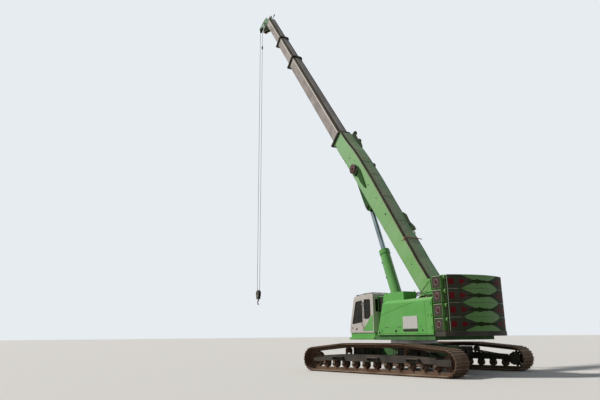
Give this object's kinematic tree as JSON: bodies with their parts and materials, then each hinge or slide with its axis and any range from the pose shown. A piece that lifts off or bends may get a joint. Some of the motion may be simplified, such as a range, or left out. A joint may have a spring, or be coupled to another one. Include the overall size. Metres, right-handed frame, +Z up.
{
  "type": "telescopic crawler crane",
  "caption": "Crawler crane with a telescopic boom raised over its front, a side cab, stacked rear counterweights and a hook block hanging from the boom head.",
  "frame": {"origin": "on the ground, on the slewing axis", "axes": "+X forward along the boom's plane, +Y to the operator's left, +Z up; the tracks lie 16 degrees to the left of +X"},
  "size_m": [22.8691, 7.878, 27.42],
  "materials": {
    "green_paint": "gloss paint, dusty",
    "dark_green_paint": "gloss paint, dusty",
    "boom_grey_paint": "satin paint, dusty",
    "cab_grey_paint": "satin paint",
    "weight_green_paint": "painted cast blocks",
    "dark_steel": "dark, greasy and dusty",
    "track_steel": "rusty and dusty",
    "bright_rod": "ground and plated",
    "machined_steel": "machined",
    "sheave_plastic": "moulded",
    "rope_steel": "greased wire rope",
    "glass": "tinted",
    "seat_fabric": "woven"
  },
  "bodies": {
    "undercarriage": {"car_body": "dark_green_paint", "cross_beams": "dark_steel", "track_frame_left": "dark_steel", "track_frame_right": "dark_steel", "track_left": "track_steel", "track_right": "track_steel", "sprockets": "track_steel", "idlers": "track_steel", "track_rollers": "dark_steel", "slew_ring": "machined_steel"},
    "upper": {"upper_frame": "dark_green_paint", "boom_pin": "machined_steel", "hood_left": "green_paint", "hood_right": "green_paint", "front_box": "green_paint", "engine": "dark_steel", "counterweight_tray": "dark_steel", "counterweight_slab_1": "weight_green_paint", "counterweight_slab_2": "weight_green_paint", "counterweight_slab_3": "weight_green_paint", "counterweight_slab_4": "weight_green_paint", "winch_frame": "dark_green_paint", "cab_platform": "green_paint", "cab_shell": "cab_grey_paint", "cab_glass": "glass", "cab_seat": "seat_fabric", "handrails": "green_paint"},
    "winch": {"winch_drum": "machined_steel"},
    "door": {"cab_door": "cab_grey_paint", "cab_door_glass": "glass"},
    "barrel": {"lift_barrel": "green_paint"},
    "rod": {"lift_rod": "bright_rod"},
    "boom_base": {"boom_base": "green_paint", "lift_bracket": "green_paint", "hose_reel": "dark_steel"},
    "boom_1": {"boom_section_1": "boom_grey_paint"},
    "boom_2": {"boom_section_2": "boom_grey_paint"},
    "boom_3": {"boom_section_3": "boom_grey_paint", "boom_head": "green_paint"},
    "sheaves": {"head_sheave": "sheave_plastic"},
    "guides": {"guide_sheaves": "sheave_plastic"},
    "falls": {"hoist_rope": "rope_steel"},
    "block": {"hook_block": "dark_steel"},
    "block_wheel": {"block_sheave": "sheave_plastic"},
    "hook": {"hook": "track_steel"}
  },
  "joints": [
    {"name": "slew", "type": "hinge", "parent": "undercarriage", "child": "upper", "pos_m": [0, 0, 1.28], "axis": [0, 0, 1], "continuous": true},
    {"name": "boom_lift", "type": "hinge", "parent": "upper", "child": "boom_base", "pos_m": [-1.565, 0, 2.955], "axis": [0, -1, 0], "range_deg": [-54.5, 29]},
    {"name": "rod_tilt", "type": "hinge", "parent": "boom_base", "child": "rod", "pos_m": [2.8041, 0, 7.83909], "axis": [0, -1, 0], "range_deg": [-4.75, 2.55]},
    {"name": "cylinder_stroke", "type": "slide", "parent": "rod", "child": "barrel", "axis": [-0.3671, 0, -0.9302], "range_m": [-2, 1.07]},
    {"name": "telescope_1", "type": "slide", "parent": "boom_base", "child": "boom_1", "axis": [0.6018, 0, 0.7986], "range_m": [-9.39, 0]},
    {"name": "telescope_2", "type": "slide", "parent": "boom_1", "child": "boom_2", "axis": [0.6018, 0, 0.7986], "range_m": [-2.98, 6.4]},
    {"name": "telescope_3", "type": "slide", "parent": "boom_2", "child": "boom_3", "axis": [0.6018, 0, 0.7986], "range_m": [-2.98, 6.4]},
    {"name": "head_sheave_spin", "type": "hinge", "parent": "boom_3", "child": "sheaves", "pos_m": [18.06155, 0, 26.9565], "axis": [0, 1, 0], "continuous": true},
    {"name": "guide_sheave_spin", "type": "hinge", "parent": "boom_3", "child": "guides", "pos_m": [17.1022, 0, 26.36467], "axis": [0, 1, 0], "continuous": true},
    {"name": "rope_hang", "type": "hinge", "parent": "boom_3", "child": "falls", "pos_m": [18.06155, 0, 26.9565], "axis": [0, -1, 0], "range_deg": [-29.1, 54.6]},
    {"name": "hoist", "type": "slide", "parent": "falls", "child": "block", "axis": [0, 0, -1], "range_m": [-20, 3.7], "deforming": ["hoist_rope"]},
    {"name": "block_sheave_spin", "type": "hinge", "parent": "block", "child": "block_wheel", "pos_m": [18.06155, 0, 4.6], "axis": [0, 1, 0], "continuous": true},
    {"name": "hook_swivel", "type": "hinge", "parent": "block", "child": "hook", "pos_m": [18.06155, 0, 4.2], "axis": [0, 0, 1], "continuous": true},
    {"name": "winch_spin", "type": "hinge", "parent": "upper", "child": "winch", "pos_m": [-2.73, 0, 1.8803], "axis": [0, 1, 0], "continuous": true},
    {"name": "cab_door_swing", "type": "hinge", "parent": "upper", "child": "door", "pos_m": [1.63, 1.52, 2.3], "axis": [0, 0, 1], "range_deg": [0, 85]}
  ],
  "couplings": [
    {"joint": "rod_tilt", "follows": "boom_lift", "ratio": 0.085},
    {"joint": "cylinder_stroke", "follows": "boom_lift", "m_per_rad": 2.1},
    {"joint": "telescope_3", "follows": "telescope_2", "ratio": 1},
    {"joint": "rope_hang", "follows": "boom_lift", "ratio": -1}
  ]
}
